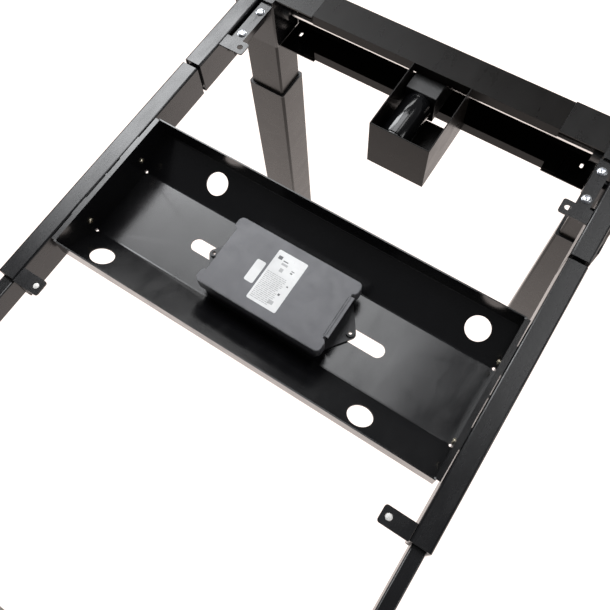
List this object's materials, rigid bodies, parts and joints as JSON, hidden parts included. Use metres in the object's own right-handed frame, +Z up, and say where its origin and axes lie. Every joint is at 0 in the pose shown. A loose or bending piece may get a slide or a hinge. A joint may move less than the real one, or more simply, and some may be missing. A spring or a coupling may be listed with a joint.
{
  "type": "four-leg electric lifting frame",
  "caption": "Electric lifting frame for a table top: telescopic side rails, a folded tray with the control box, cross beams with motors and shafts, and screw-driven telescopic legs.",
  "frame": {"origin": "on the floor, under the middle of the frame's outline", "axes": "+Z up, +Y along the side rails towards the rear cross beam, +X along the tray to the right"},
  "size_m": [0.742, 1.2926, 0.78],
  "materials": {
    "black_powder_coat": "fine-textured satin powder coat",
    "tray_powder_coat": "fine-textured satin powder coat",
    "channel_powder_coat": "fine-textured satin powder coat",
    "leg_powder_coat": "fine-textured satin powder coat",
    "motor_enamel": "gloss black enamel",
    "gearbox_casting": "black painted casting",
    "zinc_plate": "bright zinc plate",
    "bright_steel": "bright drawn steel",
    "nut_brass": "machined",
    "glide_plastic": "moulded",
    "box_plastic": "fine moulded texture",
    "cover_plastic": "fine moulded texture",
    "socket_plastic": "moulded",
    "board_laminate": "solder mask",
    "core_steel": "laminated core",
    "sink_aluminium": "extruded",
    "component_plastic": "moulded",
    "label_film": "printed film"
  },
  "bodies": {
    "centre_frame": {"centre_rail_left": "black_powder_coat", "centre_rail_right": "black_powder_coat", "rail_guides": "glide_plastic", "rail_tabs": "black_powder_coat", "equipment_tray": "tray_powder_coat", "tray_screws": "zinc_plate"},
    "control_box": {"box_base": "box_plastic", "box_cover": "cover_plastic", "cover_screws": "zinc_plate", "circuit_board": "board_laminate", "transformer": "core_steel", "board_parts": "component_plastic", "heat_sink": "sink_aluminium", "box_sockets": "socket_plastic", "mains_inlet": "socket_plastic", "box_labels": "label_film"},
    "rear_end": {"rear_end_rails": "black_powder_coat", "rear_slide_tubes": "black_powder_coat", "rear_rail_brackets": "black_powder_coat", "rear_zinc_screws": "zinc_plate", "rear_beam_channel": "channel_powder_coat", "rear_beam_ends": "channel_powder_coat", "rear_motor_box": "channel_powder_coat", "rear_motor_can": "motor_enamel", "rear_gearbox": "gearbox_casting", "rear_leg_heads": "black_powder_coat", "rear_upper_tubes": "black_powder_coat"},
    "rear_rotor": {"rear_rotor": "bright_steel"},
    "rear_shaft": {"rear_drive_shaft": "bright_steel"},
    "leg_rear_left": {"leg_tube_rear_left": "leg_powder_coat", "leg_nut_rear_left": "nut_brass", "glides_rear_left": "glide_plastic"},
    "lead_screw_rear_left": {"screw_rear_left": "bright_steel"},
    "leg_rear_right": {"leg_tube_rear_right": "leg_powder_coat", "leg_nut_rear_right": "nut_brass", "glides_rear_right": "glide_plastic"},
    "lead_screw_rear_right": {"screw_rear_right": "bright_steel"},
    "front_end": {"front_end_rails": "black_powder_coat", "front_slide_tubes": "black_powder_coat", "front_rail_brackets": "black_powder_coat", "front_zinc_screws": "zinc_plate", "front_beam_channel": "channel_powder_coat", "front_beam_ends": "channel_powder_coat", "front_motor_box": "channel_powder_coat", "front_motor_can": "motor_enamel", "front_gearbox": "gearbox_casting", "front_leg_heads": "black_powder_coat", "front_upper_tubes": "black_powder_coat"},
    "front_rotor": {"front_rotor": "bright_steel"},
    "front_shaft": {"front_drive_shaft": "bright_steel"},
    "leg_front_left": {"leg_tube_front_left": "leg_powder_coat", "leg_nut_front_left": "nut_brass", "glides_front_left": "glide_plastic"},
    "lead_screw_front_left": {"screw_front_left": "bright_steel"},
    "leg_front_right": {"leg_tube_front_right": "leg_powder_coat", "leg_nut_front_right": "nut_brass", "glides_front_right": "glide_plastic"},
    "lead_screw_front_right": {"screw_front_right": "bright_steel"}
  },
  "joints": [
    {"name": "rear_extension", "type": "slide", "parent": "centre_frame", "child": "rear_end", "axis": [0, 1, 0], "range_m": [-0.0055, 0.12]},
    {"name": "rear_motor_spin", "type": "hinge", "parent": "rear_end", "child": "rear_rotor", "pos_m": [0.004, 0.61025, 0.737], "axis": [0, 1, 0], "range_deg": [-5000, 10500]},
    {"name": "rear_shaft_spin", "type": "hinge", "parent": "rear_end", "child": "rear_shaft", "pos_m": [0, 0.61025, 0.737], "axis": [1, 0, 0], "range_deg": [-5000, 10500]},
    {"name": "leg_lift_rear_left", "type": "slide", "parent": "rear_end", "child": "leg_rear_left", "axis": [0, 0, -1], "range_m": [-0.13, 0.28]},
    {"name": "screw_spin_rear_left", "type": "hinge", "parent": "rear_end", "child": "lead_screw_rear_left", "pos_m": [-0.33, 0.61025, 0.5], "axis": [0, 0, 1], "range_deg": [-5000, 10500]},
    {"name": "leg_lift_rear_right", "type": "slide", "parent": "rear_end", "child": "leg_rear_right", "axis": [0, 0, -1], "range_m": [-0.13, 0.28]},
    {"name": "screw_spin_rear_right", "type": "hinge", "parent": "rear_end", "child": "lead_screw_rear_right", "pos_m": [0.33, 0.61025, 0.5], "axis": [0, 0, 1], "range_deg": [-10500, 5000]},
    {"name": "front_extension", "type": "slide", "parent": "centre_frame", "child": "front_end", "axis": [0, -1, 0], "range_m": [-0.17, 0.008]},
    {"name": "front_motor_spin", "type": "hinge", "parent": "front_end", "child": "front_rotor", "pos_m": [-0.004, -0.61025, 0.737], "axis": [0, -1, 0], "range_deg": [-5000, 10500]},
    {"name": "front_shaft_spin", "type": "hinge", "parent": "front_end", "child": "front_shaft", "pos_m": [0, -0.61025, 0.737], "axis": [-1, 0, 0], "range_deg": [-5000, 10500]},
    {"name": "leg_lift_front_left", "type": "slide", "parent": "front_end", "child": "leg_front_left", "axis": [0, 0, -1], "range_m": [-0.13, 0.28]},
    {"name": "screw_spin_front_left", "type": "hinge", "parent": "front_end", "child": "lead_screw_front_left", "pos_m": [-0.33, -0.61025, 0.5], "axis": [0, 0, 1], "range_deg": [-10500, 5000]},
    {"name": "leg_lift_front_right", "type": "slide", "parent": "front_end", "child": "leg_front_right", "axis": [0, 0, -1], "range_m": [-0.13, 0.28]},
    {"name": "screw_spin_front_right", "type": "hinge", "parent": "front_end", "child": "lead_screw_front_right", "pos_m": [0.33, -0.61025, 0.5], "axis": [0, 0, 1], "range_deg": [-5000, 10500]},
    {"name": "control_box_slide", "type": "slide", "parent": "centre_frame", "child": "control_box", "axis": [1, 0, 0], "range_m": [-0.015, 0.026]}
  ],
  "couplings": [
    {"joint": "screw_spin_rear_left", "follows": "leg_lift_rear_left", "rad_per_m": 628.32},
    {"joint": "leg_lift_rear_right", "follows": "leg_lift_rear_left", "ratio": 1},
    {"joint": "screw_spin_rear_right", "follows": "leg_lift_rear_left", "rad_per_m": -628.32},
    {"joint": "rear_motor_spin", "follows": "leg_lift_rear_left", "rad_per_m": 628.32},
    {"joint": "rear_shaft_spin", "follows": "leg_lift_rear_left", "rad_per_m": 628.32},
    {"joint": "leg_lift_front_left", "follows": "leg_lift_rear_left", "ratio": 1},
    {"joint": "screw_spin_front_left", "follows": "leg_lift_rear_left", "rad_per_m": -628.32},
    {"joint": "leg_lift_front_right", "follows": "leg_lift_rear_left", "ratio": 1},
    {"joint": "screw_spin_front_right", "follows": "leg_lift_rear_left", "rad_per_m": 628.32},
    {"joint": "front_motor_spin", "follows": "leg_lift_rear_left", "rad_per_m": 628.32},
    {"joint": "front_shaft_spin", "follows": "leg_lift_rear_left", "rad_per_m": 628.32}
  ]
}
